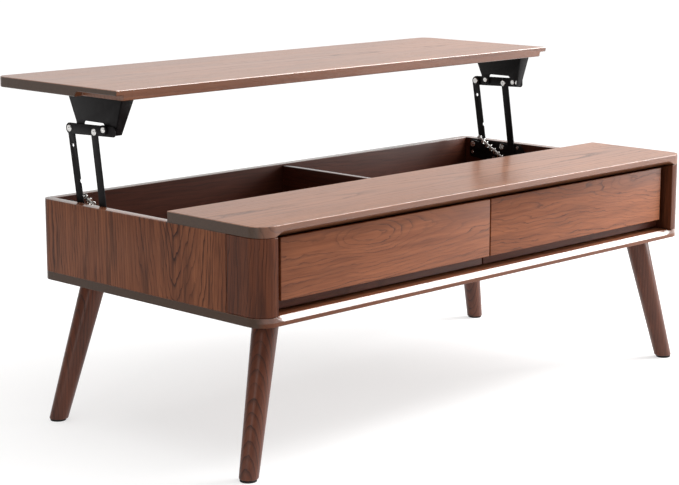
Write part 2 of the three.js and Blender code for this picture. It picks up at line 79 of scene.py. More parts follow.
# ---------------------------------------------------------------- shader maths
class Sock:
    """A shader value; arithmetic on it adds the nodes."""

    def __init__(self, shade, out):
        self.shade, self.out = shade, out

    def _math(self, op, other=None, flip=False):
        a, b = (other, self) if flip else (self, other)
        return self.shade.node("ShaderNodeMath", {"operation": op}, {0: a, 1: b})

    def __add__(self, o): return self._math("ADD", o)
    def __sub__(self, o): return self._math("SUBTRACT", o)
    def __rsub__(self, o): return self._math("SUBTRACT", o, flip=True)
    def __mul__(self, o): return self._math("MULTIPLY", o)
    def __truediv__(self, o): return self._math("DIVIDE", o)
    def fract(self): return self._math("FRACT")
    def floor(self): return self._math("FLOOR")
    def sqrt(self): return self._math("SQRT")
    def exp(self): return self._math("EXPONENT")
    def size(self): return self._math("ABSOLUTE")
    def above(self, o): return self._math("GREATER_THAN", o)
    def max(self, o): return self._math("MAXIMUM", o)

    def ease(self, low, high, to_low=0.0, to_high=1.0):
        return self.shade.node(
            "ShaderNodeMapRange", {"interpolation_type": "SMOOTHSTEP", "clamp": True},
            {"Value": self, "From Min": low, "From Max": high, "To Min": to_low, "To Max": to_high},
        )


class Shade:
    """One material's node tree around a Principled shader."""

    def __init__(self, name, **plain):
        self.mat = bpy.data.materials.new(name)
        self.mat.use_nodes = True
        self.tree = self.mat.node_tree
        self.shader = self.tree.nodes["Principled BSDF"]
        for socket, value in plain.items():
            label = socket.replace("_", " ").title().replace("Ior", "IOR")
            self.shader.inputs[label].default_value = value

    def put(self, socket, value):
        if isinstance(value, Sock):
            self.tree.links.new(value.out, socket)
        elif value is not None:
            socket.default_value = value

    def node(self, kind, settings=None, inputs=None, out=0):
        n = self.tree.nodes.new(kind)
        for key, value in (settings or {}).items():
            setattr(n, key, value)
        for key, value in (inputs or {}).items():
            self.put(n.inputs[key], value)
        return Sock(self, n.outputs[out])

    def noise(self, vector, scale, detail=2.0, roughness=0.5):
        return self.node(
            "ShaderNodeTexNoise", {},
            {"Vector": vector, "Scale": scale, "Detail": detail, "Roughness": roughness},
        )

    def mix(self, factor, a, b):
        n = self.tree.nodes.new("ShaderNodeMix")
        n.data_type, n.clamp_factor = "RGBA", True
        ins = [s for s in n.inputs if s.type == "RGBA"]
        self.put(n.inputs["Factor"], factor)
        self.put(ins[0], (*a, 1) if isinstance(a, tuple) else a)
        self.put(ins[1], (*b, 1) if isinstance(b, tuple) else b)
        return Sock(self, next(s for s in n.outputs if s.type == "RGBA"))

    def place(self, turn=(0, 0, 0)):
        """Where a point of the piece is, in metres, after a turn."""
        coord = self.node("ShaderNodeTexCoord", out=3)
        return self.node("ShaderNodeMapping", {}, {"Vector": coord, "Rotation": turn})

    def scaled(self, vector, scale):
        return self.node("ShaderNodeVectorMath", {"operation": "MULTIPLY"}, {0: vector, 1: scale})

    def shifted(self, vector, by):
        return self.node("ShaderNodeVectorMath", {"operation": "ADD"}, {0: vector, 1: by})

    def parts(self, vector):
        n = self.tree.nodes.new("ShaderNodeSeparateXYZ")
        self.put(n.inputs[0], vector)
        return [Sock(self, o) for o in n.outputs]

    def bump(self, height, strength, distance):
        return self.node(
            "ShaderNodeBump", {}, {"Strength": strength, "Distance": distance, "Height": height},
        )

    def finish(self, **varying):
        for socket, value in varying.items():
            self.put(self.shader.inputs[socket.replace("_", " ").title()], value)
        return self.mat


# ---------------------------------------------------------------- wood
GRAIN_TURN = {"x": (0, 0, 0), "y": (0, 0, math.radians(90)), "z": (0, math.radians(90), 0)}
# The interior's darker colours: partly its own stain, partly painted shade of the case under the lift
# top.
INSIDE_STAIN_AND_SHADE = dict(mid=(0.055, 0.014, 0.007), light=(0.092, 0.026, 0.013), dark=(0.022, 0.006, 0.003))
END_STAIN = (0.030, 0.018, 0.010)
# A darker colour for the faces under a board's top face: partly the stain, partly painted shade on the
# front edges and down-facing bevels.
EDGE_STAIN_AND_SHADE = (0.095, 0.028, 0.010)


def along_grain(point, grain):
    """A place in the table as (along the fibres, across, through), the way the grain turn maps it."""
    x, y, z = point
    return {"x": (x, y, z), "y": (-y, x, z), "z": (z, y, -x)}[grain]


def ash(
    name, grain="x", heart=(0, 0, 0), ring=0.009, slope=0.1, wander=0.012,
    light=(0.225, 0.078, 0.034), mid=(0.135, 0.042, 0.018), dark=(0.040, 0.012, 0.006),
    pore=(0.018, 0.006, 0.003), contrast=1.0, roughness=0.4, coat=0.0, gloss=0.22, wobble=0.45,
    seed=0.0, swell=None, inside=None, ends=None, shine=None, ragged=0.5, smoke=0.25,
):
    """Stained ash: growth rings round a wandering heart line, dark open pores along the grain.

    grain is the axis the fibres run along and heart a point of the tree's centre line. ring is the
    rings' spacing and slope how fast they widen along the grain. wander and wobble bend them, in
    long and in short waves, ragged breaks up their lines, and smoke adds broad dark streaks. swell
    is a hump in the rings as (centre, reach along, reach across, height), which gives an island.
    inside is (axis, limit, side) of the face that has only the plain dark interior colour: partly the
    interior's own stain, partly painted shade of the case under the lift top. ends is (x where the darker
    end grain starts, x where it is full, height it stays under); every face under that height is also
    mixed toward a darker edge colour, partly the stain and partly painted shade on the front edges and
    down-facing bevels. shine is the (low, high) height between which the lacquer is polished, on bevels
    and top edges.
    """
    s = Shade(name, coat_weight=coat, coat_roughness=0.14, specular_ior_level=gloss)
    here = s.place()
    turned = s.place(GRAIN_TURN[grain])
    seeded = s.shifted(turned, (seed * 3.1, seed * 1.7, seed * 2.3))
    u, v, w = s.parts(turned)
    hu, hv, hw = along_grain(heart, grain)
    dv, dw = v - hv, w - hw
    drift = s.noise(s.scaled(seeded, (1.2, 6.0, 6.0)), 1.7, 2.0, 0.5) - 0.5
    wave = s.noise(s.scaled(seeded, (7.0, 26.0, 26.0)), 1.5, 2.0, 0.5) - 0.5
    lean = (u - hu) * slope / (dv * dv * 200.0 + 1.0)
    radius = (dv * dv + dw * dw).sqrt() + lean + drift * wander * 2.0 + wave * wander * wobble
    if swell:
        centre, reach, width, height = swell
        cu, cv, cw = along_grain(centre, grain)
        su, sv = (u - cu) / reach, (v - cv) / width
        sw = (w - cw) / width
        radius = radius - ((su * su + sv * sv + sw * sw) * -1.0).exp() * height
    ripple = s.noise(s.scaled(seeded, (24.0, 88.0, 88.0)), 1.0, 2.0, 0.55) - 0.5
    step = radius / ring + ripple * ragged
    across = step.fract()
    own = s.node("ShaderNodeCombineXYZ", {}, {0: step.floor() * 0.731 + seed, 1: 0.37})
    share = s.noise(own, 3.0, 0.0).ease(0.32, 0.68, 0.35, 1.0)
    patchy = s.noise(s.scaled(seeded, (7.0, 34.0, 34.0)), 1.2, 2.0, 0.5)
    share = share * patchy.ease(0.36, 0.6, 1.0 - ragged * 0.7, 1.0)
    early = across.ease(0.0, 0.42, 1.0, 0.0).max(across.ease(0.93, 1.0, 0.0, 1.0)) * share
    line = across.ease(0.0, 0.16, 1.0, 0.0).max(across.ease(0.965, 1.0, 0.0, 1.0)) * share
    fibre = s.noise(s.scaled(seeded, (16.0, 520.0, 520.0)), 1.0, 3.0, 0.6)
    pores = s.noise(s.scaled(seeded, (55.0, 1900.0, 1900.0)), 1.0, 2.0, 0.5)
    streak = s.noise(s.scaled(seeded, (5.0, 105.0, 105.0)), 1.0, 3.0, 0.6)
    blotch = s.noise(s.scaled(seeded, (2.6, 9.0, 9.0)), 1.0, 3.0, 0.55)
    pored = early * pores.ease(0.46, 0.62)
    tone = blotch * 0.36 + streak * 0.36 + fibre * 0.28
    base = s.mix(tone.ease(0.38, 0.63), mid, light)
    base = s.mix((early * fibre.ease(0.3, 0.66, 0.3, 0.7) + line * 0.55) * contrast, base, dark)
    smoky = s.noise(s.scaled(seeded, (4.5, 58.0, 58.0)), 1.3, 3.0, 0.62).ease(0.5, 0.68) * smoke
    base = s.mix(smoky, s.mix(pored * 0.8 * contrast, base, pore), dark)
    varying = {}
    if ends:
        start, full, under = ends
        x, _, z = s.parts(here)
        below = (z * -1.0).above(-under)
        tip = x.size().ease(start, full) * below
        # Every face under the top face turns darker: partly the stain, partly painted shade.
        base = s.mix(below * 0.7, base, EDGE_STAIN_AND_SHADE)
        end_grain = s.mix(fibre.ease(0.3, 0.7), END_STAIN, tuple(c * 1.4 for c in END_STAIN))
        base = s.mix(tip * 0.85, base, end_grain)
    rough = tone.ease(0.2, 0.8, roughness - 0.04, roughness + 0.06) + pored * 0.15
    # Inner faces take the darker interior colours: partly stain, partly painted shade.
    if inside:
        axis, limit, side = inside
        there = s.parts(here)[axis]
        mask = there.above(limit) if side > 0 else (there * -1.0).above(-limit)
        plain = s.mix(tone.ease(0.35, 0.66), INSIDE_STAIN_AND_SHADE["mid"], INSIDE_STAIN_AND_SHADE["light"])
        plain = s.mix(early * 0.35 + pored * 0.3, plain, INSIDE_STAIN_AND_SHADE["dark"])
        base = s.mix(mask, base, plain)
        rough = rough + mask * 0.08
    if shine:
        low, high = shine
        z = s.parts(here)[2]
        polished = z.above(low) * (z * -1.0).above(-high) * (1.0 - coat) + coat
        varying["coat_weight"] = polished * (1.0 - tip) if ends else polished
    height = fibre * 0.35 - pored - early * 0.3
    return s.finish(base_color=base, roughness=rough, normal=s.bump(height, 0.3, 0.0003), **varying)


def powder_coat():
    s = Shade("black_powder_coat", specular_ior_level=0.1)
    at = s.place()
    orange_peel = s.noise(at, 1100.0, 2.0)
    dust = s.noise(at, 70.0, 3.0)
    return s.finish(
        base_color=s.mix(dust.ease(0.42, 0.75), (0.0065, 0.0055, 0.0058), (0.012, 0.0105, 0.011)),
        roughness=dust.ease(0.2, 0.8, 0.36, 0.5),
        normal=s.bump(orange_peel, 0.22, 0.0002),
    )


def plated(name, colour, rough):
    s = Shade(name, metallic=1.0)
    at = s.place()
    wear = s.noise(at, 260.0, 3.0)
    return s.finish(
        base_color=s.mix(wear.ease(0.3, 0.7), colour, tuple(c * 0.8 for c in colour)),
        roughness=wear.ease(0.25, 0.75, rough - 0.06, rough + 0.08),
        normal=s.bump(s.noise(at, 1500.0, 1.0), 0.06, 0.0002),
    )


def glide_pad():
    s = Shade("dark_glide_pad", specular_ior_level=0.3)
    fuzz = s.noise(s.place(), 1800.0, 3.0)
    return s.finish(
        base_color=s.mix(fuzz.ease(0.3, 0.7), (0.012, 0.011, 0.010), (0.03, 0.027, 0.024)),
        roughness=fuzz.ease(0.2, 0.8, 0.8, 0.95),
        normal=s.bump(fuzz, 0.4, 0.0004),
    )


# ---------------------------------------------------------------- pieces
def linked(mesh, name, material, node=None, body=None, replaced=()):
    """A finished piece that rides its body and stands in for the nodes it replaces."""
    piece = bpy.data.objects.new(name, mesh)
    bpy.context.scene.collection.objects.link(piece)
    mesh.materials.clear()
    mesh.materials.append(material)
    if replaced:
        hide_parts(*replaced)
    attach(piece, body or frame["nodes"][node]["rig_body"])
    return piece


def eased(piece, arris, segments):
    """Small round edges, as a live bevel of the given width."""
    for face in piece.data.polygons:
        face.use_smooth = True
    ease = piece.modifiers.new("eased_edges", "BEVEL")
    ease.width, ease.segments = arris, segments
    ease.limit_method, ease.angle_limit = "ANGLE", math.radians(28)
    ease.harden_normals, ease.miter_outer = True, "MITER_ARC"
    return piece


def settled(holder):
    """The finished mesh of an object with its modifiers worked out; the object itself goes."""
    bpy.context.scene.collection.objects.link(holder)
    graph = bpy.context.evaluated_depsgraph_get()
    graph.update()
    mesh = bpy.data.meshes.new_from_object(holder.evaluated_get(graph))
    bpy.data.objects.remove(holder)
    return mesh


def crisp(mesh, angle):
    """Smooth faces, with a hard line wherever two meet at more than the angle."""
    bm = bmesh.new()
    bm.from_mesh(mesh)
    for f in bm.faces:
        f.smooth = True
    for e in bm.edges:
        e.smooth = len(e.link_faces) != 2 or e.calc_face_angle() < math.radians(angle)
    bm.to_mesh(mesh)
    bm.free()


def board(node, name, arris, material, segments=3):
    """A wooden part: its solid with eased edges, or with one flat chamfer where segments is 1."""
    mesh = bpy.data.meshes.new(name)
    bm = bmesh.new()
    bm.from_mesh(frame["nodes"][node].data)
    bmesh.ops.remove_doubles(bm, verts=bm.verts, dist=1e-5)
    bmesh.ops.dissolve_limit(bm, angle_limit=math.radians(0.5), verts=bm.verts, edges=bm.edges)
    bm.to_mesh(mesh)
    bm.free()
    if segments == 1:
        chamfered = eased(bpy.data.objects.new(name, mesh), arris, segments)
        chamfered.modifiers[0].harden_normals = False
        mesh = settled(chamfered)
        mesh.name = name
        crisp(mesh, 20)
    piece = linked(mesh, name, material, node, replaced=(node,))
    if segments > 1:
        eased(piece, arris, segments)


def paint(node, material):
    """A hidden fitting keeps its own shape."""
    data = frame["nodes"][node].data
    data.materials.clear()
    data.materials.append(material)


def below_top(node, *drops):
    """Heights given as millimetres down from the top face of a part."""
    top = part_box(node)[1].z
    return tuple(top - drop / 1000 for drop in drops)


CASE_Y = -0.0645  # the middle of the case, front to back
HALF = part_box("fixed_top_panel")[1].x
# The tops' colours are the stained wood lightened to a pale pinkish beige: partly the stain, partly
# painted reflection of the bright room on the top faces.
TOP_WOOD_AND_PAINTED_REFLECTION = dict(
    light=(0.300, 0.132, 0.072), mid=(0.215, 0.088, 0.046), dark=(0.075, 0.028, 0.015),
    ring=0.010, contrast=0.75, roughness=0.33, coat=0.3, gloss=0.35,
)
FRONTS = dict(
    light=(0.228, 0.073, 0.028), mid=(0.150, 0.043, 0.015), dark=(0.062, 0.018, 0.008),
    ring=0.0065, contrast=0.8, gloss=0.17, wobble=1.3, ragged=0.8, smoke=0.3,
)
RIM_SHINE = below_top("side_panel_left", 1.2, -0.3)
SIDES = dict(
    grain="z", ring=0.0082, slope=-0.24, wander=0.018, wobble=0.8, ragged=0.75, smoke=0.6,
    contrast=1.15, gloss=0.15, shine=RIM_SHINE,
)
POSTS = dict(
    grain="z", ring=0.006, slope=0.05, wander=0.014, wobble=1.0, ragged=0.8, smoke=0.55,
    light=(0.118, 0.035, 0.015), mid=(0.066, 0.019, 0.009), roughness=0.3, gloss=0.1, coat=0.06,
)
# Partition, bay walls, runners and drawer box fronts take the same darker interior colours: partly stain,
# partly painted shade.
STAINED_AND_SHADED = dict(ring=0.008, slope=0.04, wander=0.01, contrast=0.5, gloss=0.18, **INSIDE_STAIN_AND_SHADE)
WOODS = {
    "side_left": ash(
        "ash_side_left", heart=(-0.570, -0.085 + CASE_Y, 0.40), seed=1.3,
        inside=(0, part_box("side_panel_left")[1].x - 0.0003, 1), **SIDES,
    ),
    "side_right": ash(
        "ash_side_right", heart=(0.570, 0.03 + CASE_Y, 0.40), seed=4.2,
        inside=(0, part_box("side_panel_right")[0].x + 0.0003, -1), **SIDES,
    ),
    "back": ash(
        "ash_back", heart=(0.12, 0.275 + CASE_Y, 0.35), ring=0.0085, slope=0.03, wander=0.018,
        wobble=0.9, ragged=0.8, smoke=0.5, seed=9.1, shine=RIM_SHINE,
        inside=(1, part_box("back_panel")[0].y + 0.0002, -1),
    ),
    "post_left": ash("ash_post", heart=(-0.545, -0.30 + CASE_Y, 0.33), seed=7.7, **POSTS),
    "post_right": ash("ash_post_right", heart=(0.545, -0.30 + CASE_Y, 0.33), seed=3.7, **POSTS),
    "fixed_top": ash(
        "ash_fixed_top", heart=(0.1, -0.17 + CASE_Y, 0.39), slope=0.03, wander=0.009, seed=2.4,
        ends=(HALF - 0.016, HALF - 0.003, *below_top("fixed_top_panel", 1.4)),
        shine=below_top("fixed_top_panel", 1.4, 0.1), **TOP_WOOD_AND_PAINTED_REFLECTION,
    ),
    "lift_top": ash(
        "ash_lift_top", heart=(0.0, 0.26 + CASE_Y, 0.58), slope=0.025, wander=0.010, seed=5.5,
        ends=(HALF - 0.002, HALF - 0.0007, *below_top("lift_top_panel", 1.1)),
        shine=below_top("lift_top_panel", 1.2, 0.1), **TOP_WOOD_AND_PAINTED_REFLECTION,
    ),
    "bottom": ash(
        "ash_bottom_board", heart=(0.0, -0.2 + CASE_Y, 0.22), ring=0.010, slope=0.03, wander=0.008,
        seed=6.1, roughness=0.34,
        ends=(HALF - 0.016, HALF - 0.003, *below_top("bottom_board", 0.4)),
        shine=below_top("bottom_board", 8.8, 0.1),
    ),
    "front_left": ash(
        "ash_drawer_left", heart=(-0.33, -0.245 + CASE_Y, 0.392), slope=0.05, wander=0.012, seed=3.3,
        swell=((-0.315, -0.285 + CASE_Y, 0.393), 0.085, 0.032, 0.026), **FRONTS,
    ),
    "front_right": ash(
        "ash_drawer_right", heart=(0.3, -0.245 + CASE_Y, 0.42), slope=-0.09, wander=0.02, seed=8.8,
        swell=((0.43, -0.285 + CASE_Y, 0.40), 0.05, 0.03, 0.012), **FRONTS,
    ),
    "leg": ash(
        "ash_leg", "z", heart=(0.2, 0.1, 0.1), ring=0.006, slope=0.1, wander=0.004, seed=0.6,
        light=(0.118, 0.034, 0.016), mid=(0.072, 0.020, 0.009), roughness=0.32, gloss=0.3,
    ),
    "divider": ash(
        "partition_stain_and_shade", "y", heart=(0, 0.1, 0.3), roughness=0.4, seed=1.4,
        shine=below_top("storage_divider", 1.0, -0.2), **STAINED_AND_SHADED,
    ),
    "inside": ash("stained_interior", heart=(0, 0.1, 0.25), roughness=0.45, seed=1.9, **STAINED_AND_SHADED),
    "box": ash(
        "drawer_box_birch", heart=(0, -0.1, 0.2), ring=0.007, slope=0.03, wander=0.012, seed=2.9,
        light=(0.50, 0.33, 0.19), mid=(0.42, 0.26, 0.14), dark=(0.26, 0.15, 0.075),
        pore=(0.18, 0.10, 0.05), contrast=0.4, roughness=0.48, gloss=0.35,
    ),
}
BLACK = powder_coat()
NICKEL = plated("nickel_plate", (0.74, 0.73, 0.71), 0.24)
GLIDE = glide_pad()

# node: (name, wood, width of the arris, slot)
BOARDS = {
    "fixed_top_panel": ("fixed_top_board", "fixed_top", 0.0014, "top_wood"),
    "lift_top_panel": ("lift_top_board", "lift_top", 0.0012, "top_wood"),
    "bottom_board": ("case_bottom_board", "bottom", 0.0010, "case_wood"),
    "side_panel_left": ("left_side_board", "side_left", 0.001, "case_wood"),
    "side_panel_right": ("right_side_board", "side_right", 0.001, "case_wood"),
    "corner_post_left": ("left_corner_post", "post_left", 0.0012, "case_wood"),
    "corner_post_right": ("right_corner_post", "post_right", 0.0012, "case_wood"),
    "back_panel": ("back_board", "back", 0.001, "case_wood"),
    "drawer_left_front": ("left_drawer_face", "front_left", 0.0014, "case_wood"),
    "drawer_right_front": ("right_drawer_face", "front_right", 0.0014, "case_wood"),
    "drawer_bay_wall": ("bay_wall", "inside", 0.001, "inner_wood"),
    "drawer_bay_center_support": ("bay_center_support", "inside", 0.001, "inner_wood"),
    "storage_divider": ("storage_partition", "divider", 0.0012, "inner_wood"),
}
CHAMFERED = ("fixed_top", "lift_top", "bottom", "post_left", "post_right")
for node, (name, wood, arris, slot) in BOARDS.items():
    board(node, name, arris, WOODS[wood], 1 if wood in CHAMFERED else 3)
for side in ("left", "right"):
    inside, box_wood = WOODS["inside"], WOODS["box"]
    board(f"drawer_{side}_box_front", f"{side}_drawer_box_front", 0.0008, inside)
    for part in ("inner_side", "outer_side", "back", "floor"):
        board(f"drawer_{side}_box_{part}", f"{side}_drawer_{part}", 0.0008, box_wood, 2)
    for part in ("inner", "outer"):
        rail = f"{side}_{part}_guide_rail"
        board(f"drawer_runner_{side}_{part}", rail, 0.0008, inside, 2)
    for end in ("front", "rear"):
        board(f"leg_{end}_{side}", f"{end}_{side}_leg", 0.0022, WOODS["leg"], 4)
        board(f"foot_glide_{end}_{side}", f"{end}_{side}_glide", 0.0009, GLIDE, 3)
        paint(f"leg_bolt_{end}_{side}", NICKEL)

# ---------------------------------------------------------------- lift mechanism
# Drawn for the left side, as (y, z) outlines in layers, and mirrored to the right.
PLATE = 0.0025
INNER = -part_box("side_panel_left")[1].x
# How far each layer starts from the side board's inner face; the spring's is its middle.
BASE, FRONT, COUPLER, REAR, SPRING = 0.0003, 0.0034, 0.0080, 0.0111, 0.0227
HEAD_GAP = 0.3  # mm between a plate and the head over it


def pivot(joint):
    """A joint's (y, z) place."""
    _, y, z = JOINTS[joint]["pos_m"]
    return Vector((y, z))


REAR_BASE, FRONT_BASE = pivot("rear_arm_left_hinge"), pivot("front_arm_left_hinge")
FRONT_TOP, ANCHOR = pivot("lift_top_hinge"), pivot("spring_left_eye")
REAR_TOP = REAR_BASE + FRONT_TOP - FRONT_BASE
SPRING_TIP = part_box("lift_spring_left")[1]
STUD = Vector((SPRING_TIP.y - 0.006, SPRING_TIP.z - 0.006))


def off(point, dy, dz):
    """The place that many millimetres from a point."""
    return point + Vector((dy, dz)) / 1000


def arc(centre, radius, start, end, steps=14):
    angles = [start + (end - start) * i / steps for i in range(steps + 1)]
    return [centre + Vector((math.cos(a), math.sin(a))) * radius for a in angles]


def bent_bar(path, radius, bite=None):
    """The outline of a bar of even width with round ends and outer corners; bite is a notch as
    (distance from the first point, radius, how far outside the right edge its centre lies)."""
    def side(points, notch):
        row = []
        ways = [(b - a).normalized() for a, b in zip(points, points[1:])]
        outs = [Vector((w.y, -w.x)) for w in ways]
        for i, point in enumerate(points):
            if i == 0:
                back = math.atan2(-ways[0].y, -ways[0].x)
                row += arc(point, radius, back - math.pi / 2, back + math.pi / 2)
            elif i < len(points) - 1:
                before, after = outs[i - 1], outs[i]
                turn = ways[i - 1].cross(ways[i])
                if turn > 0:
                    start = math.atan2(before.y, before.x)
                    row += arc(point, radius, start, start + math.asin(min(1, turn)), 8)
                else:
                    row.append(point + (before + after) * radius / (1 + before.dot(after)))
            if notch and i == 0:
                along, size, beyond = notch
                centre = point + ways[0] * along + outs[0] * (radius + beyond)
                first = math.asin(beyond / size)
                row += [
                    centre - ways[0] * size * math.cos(a) - outs[0] * size * math.sin(a)
                    for a in (first + (math.pi - 2 * first) * k / 12 for k in range(13))
                ]
        return row
    return side(path, bite) + side(path[::-1], None)


def softened(corners, radius):
    """A polygon with its corners rounded."""
    row = []
    for before, here, after in zip(corners[-1:] + corners[:-1], corners, corners[1:] + corners[:1]):
        back, on = before - here, after - here
        reach = min(radius, back.length * 0.45, on.length * 0.45)
        a, b = here + back.normalized() * reach, here + on.normalized() * reach
        steps = (0, 0.2, 0.4, 0.6, 0.8, 1)
        row += [a * (1 - t) ** 2 + here * 2 * t * (1 - t) + b * t * t for t in steps]
    return row


def flat_bar(name, layer, outlines, thickness=PLATE, edge=0.00035):
    """A steel plate in the Y-Z plane with a fine round edge; outlines after the first are holes."""
    curve = bpy.data.curves.new(name, "CURVE")
    curve.dimensions, curve.fill_mode, curve.offset = "2D", "BOTH", -edge
    curve.extrude, curve.bevel_depth, curve.bevel_resolution = thickness / 2 - edge, edge, 1
    for outline in outlines:
        row = curve.splines.new("POLY")
        row.points.add(len(outline) - 1)
        for point, at in zip(row.points, outline):
            point.co = (at.x, at.y, 0, 1)
        row.use_cyclic_u = True
    mesh = settled(bpy.data.objects.new(name, curve))
    middle = -INNER + layer + thickness / 2
    mesh.transform(Matrix(((0, 0, 1, middle), (1, 0, 0, 0), (0, 1, 0, 0), (0, 0, 0, 1))))
    return mesh


def folded(low, high, edge=0.0005):
    """A flange between two rectangles, each ((x, y) from, (x, y) to, z), with eased edges."""
    bm = bmesh.new()
    under, over = (
        [bm.verts.new((x, y, z)) for x, y in ((x0, y0), (x1, y0), (x1, y1), (x0, y1))]
        for (x0, y0), (x1, y1), z in (low, high)
    )
    for k in range(4):
        n = (k + 1) % 4
        bm.faces.new((under[k], under[n], over[n], over[k]))
    bm.faces.new(under[::-1])
    bm.faces.new(over)
    bmesh.ops.bevel(bm, geom=bm.edges[:], offset=edge, segments=2, affect="EDGES", profile=0.5)
    mesh = bpy.data.meshes.new("flange")
    bm.to_mesh(mesh)
    bm.free()
    return mesh


def gathered(meshes, name, mirrored, merge):
    """Several meshes as one, faces outwards, or the same thing for the other side of the table."""
    bm = bmesh.new()
    for mesh in meshes:
        bm.from_mesh(mesh)
    if mirrored:
        bmesh.ops.transform(bm, matrix=Matrix.Diagonal((-1, 1, 1, 1)), verts=bm.verts)
    if merge:
        bmesh.ops.remove_doubles(bm, verts=bm.verts, dist=2e-6)
    bmesh.ops.recalc_face_normals(bm, faces=bm.faces)
    for f in bm.faces:
        f.smooth = True
    for e in bm.edges:
        if len(e.link_faces) == 2 and e.calc_face_angle() > math.radians(38):
            e.smooth = False
    mesh = bpy.data.meshes.new(name)
    bm.to_mesh(mesh)
    bm.free()
    return mesh


def pair(name, meshes, material, body, nodes, merge=True):
    """The same piece for both sides of the table; {side} in body and nodes is filled in."""
    for side in ("left", "right"):
        full_name = f"{side}_{name}"
        linked(
            gathered(meshes, full_name, side == "right", merge), full_name, material,
            body=body.format(side=side), replaced=[n.format(side=side) for n in nodes],
        )


def disc(centre, radius):
    return arc(centre, radius, 0, 2 * math.pi * 23 / 24, 23)


rear_elbow, front_elbow = off(REAR_BASE, -30, -5), off(FRONT_BASE, -27.6, -6)
stop = off(FRONT_TOP, -26, 6)
down = (rear_elbow - REAR_TOP).normalized()
rivets = [off(REAR_TOP, dy, 4) for dy in (-29, -108, -121)]
base_screws = [off(REAR_BASE, *at) for at in ((10, -20), (-52, -28), (-120, 2))]

pair("rear_lift_arm", [flat_bar("rear_arm", REAR, [
    bent_bar([REAR_TOP, rear_elbow, REAR_BASE], 0.0092, (0.099, 0.0042, 0.001)),
    disc(REAR_TOP + down * 0.032, 0.0034),
])], BLACK, "rear_arm_{side}", ["lift_rear_arm_{side}"])
pair("front_lift_arm", [flat_bar("front_arm", FRONT, [
    bent_bar([stop, FRONT_TOP, front_elbow, FRONT_BASE], 0.009),
])], BLACK, "front_arm_{side}", ["lift_front_arm_{side}"])

tail = off(FRONT_TOP, -54, 4)
pair("coupler_bar", [flat_bar("coupler", COUPLER, [softened(
    arc(REAR_TOP, 0.0101, -math.pi / 2, math.pi / 2, 12)
    + [off(tail, 4, 9.5), off(tail, 0, 6.5), off(tail, 0, -5.5), off(tail, 3, -9.5)], 0.002,
)])], BLACK, "lift_top", ["lift_coupler_{side}"])

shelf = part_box("lift_top_bracket_left")[1].z
crown = (shelf - REAR_TOP.y) * 1000
slot_top = 17
web = flat_bar("web", REAR, [softened([off(REAR_TOP, *at) for at in (
    (6, crown), (-151, crown), (-130, -3), (-99, -5), (-99, slot_top - 3), (-96, slot_top),
    (-43, slot_top), (-40, slot_top - 3), (-39, -5), (-20, -5), (-18, 13))], 0.0025)])
fold_x = -INNER + REAR
flange_x, flange_toe_x = fold_x + 0.028, fold_x + 0.015
front_y, toe_y, toe_z = off(REAR_TOP, -151, 0).x, off(REAR_TOP, -130, 0).x, REAR_TOP.y - 0.003
front_flange = folded(
    ((fold_x, toe_y), (flange_toe_x, toe_y + PLATE), toe_z),
    ((fold_x, front_y), (flange_x, front_y + PLATE), shelf),
)
shelf_from, shelf_to = (fold_x, front_y), (flange_x, REAR_TOP.x + 0.004)
top_flange = folded((shelf_from, shelf_to, shelf - PLATE), (shelf_from, shelf_to, shelf))
pair("top_bracket", [web, front_flange, top_flange],
     BLACK, "lift_top", ["lift_top_bracket_{side}"])

pair("base_plate", [flat_bar("base", BASE, [softened([
    off(REAR_BASE, 18, 9), off(FRONT_BASE, -50, 9), off(ANCHOR, -8, 8), off(ANCHOR, 6, -9),
    off(REAR_BASE, -40, -36), off(REAR_BASE, 18, -30)], 0.006,
)])], BLACK, "case", ["lift_base_plate_{side}"])


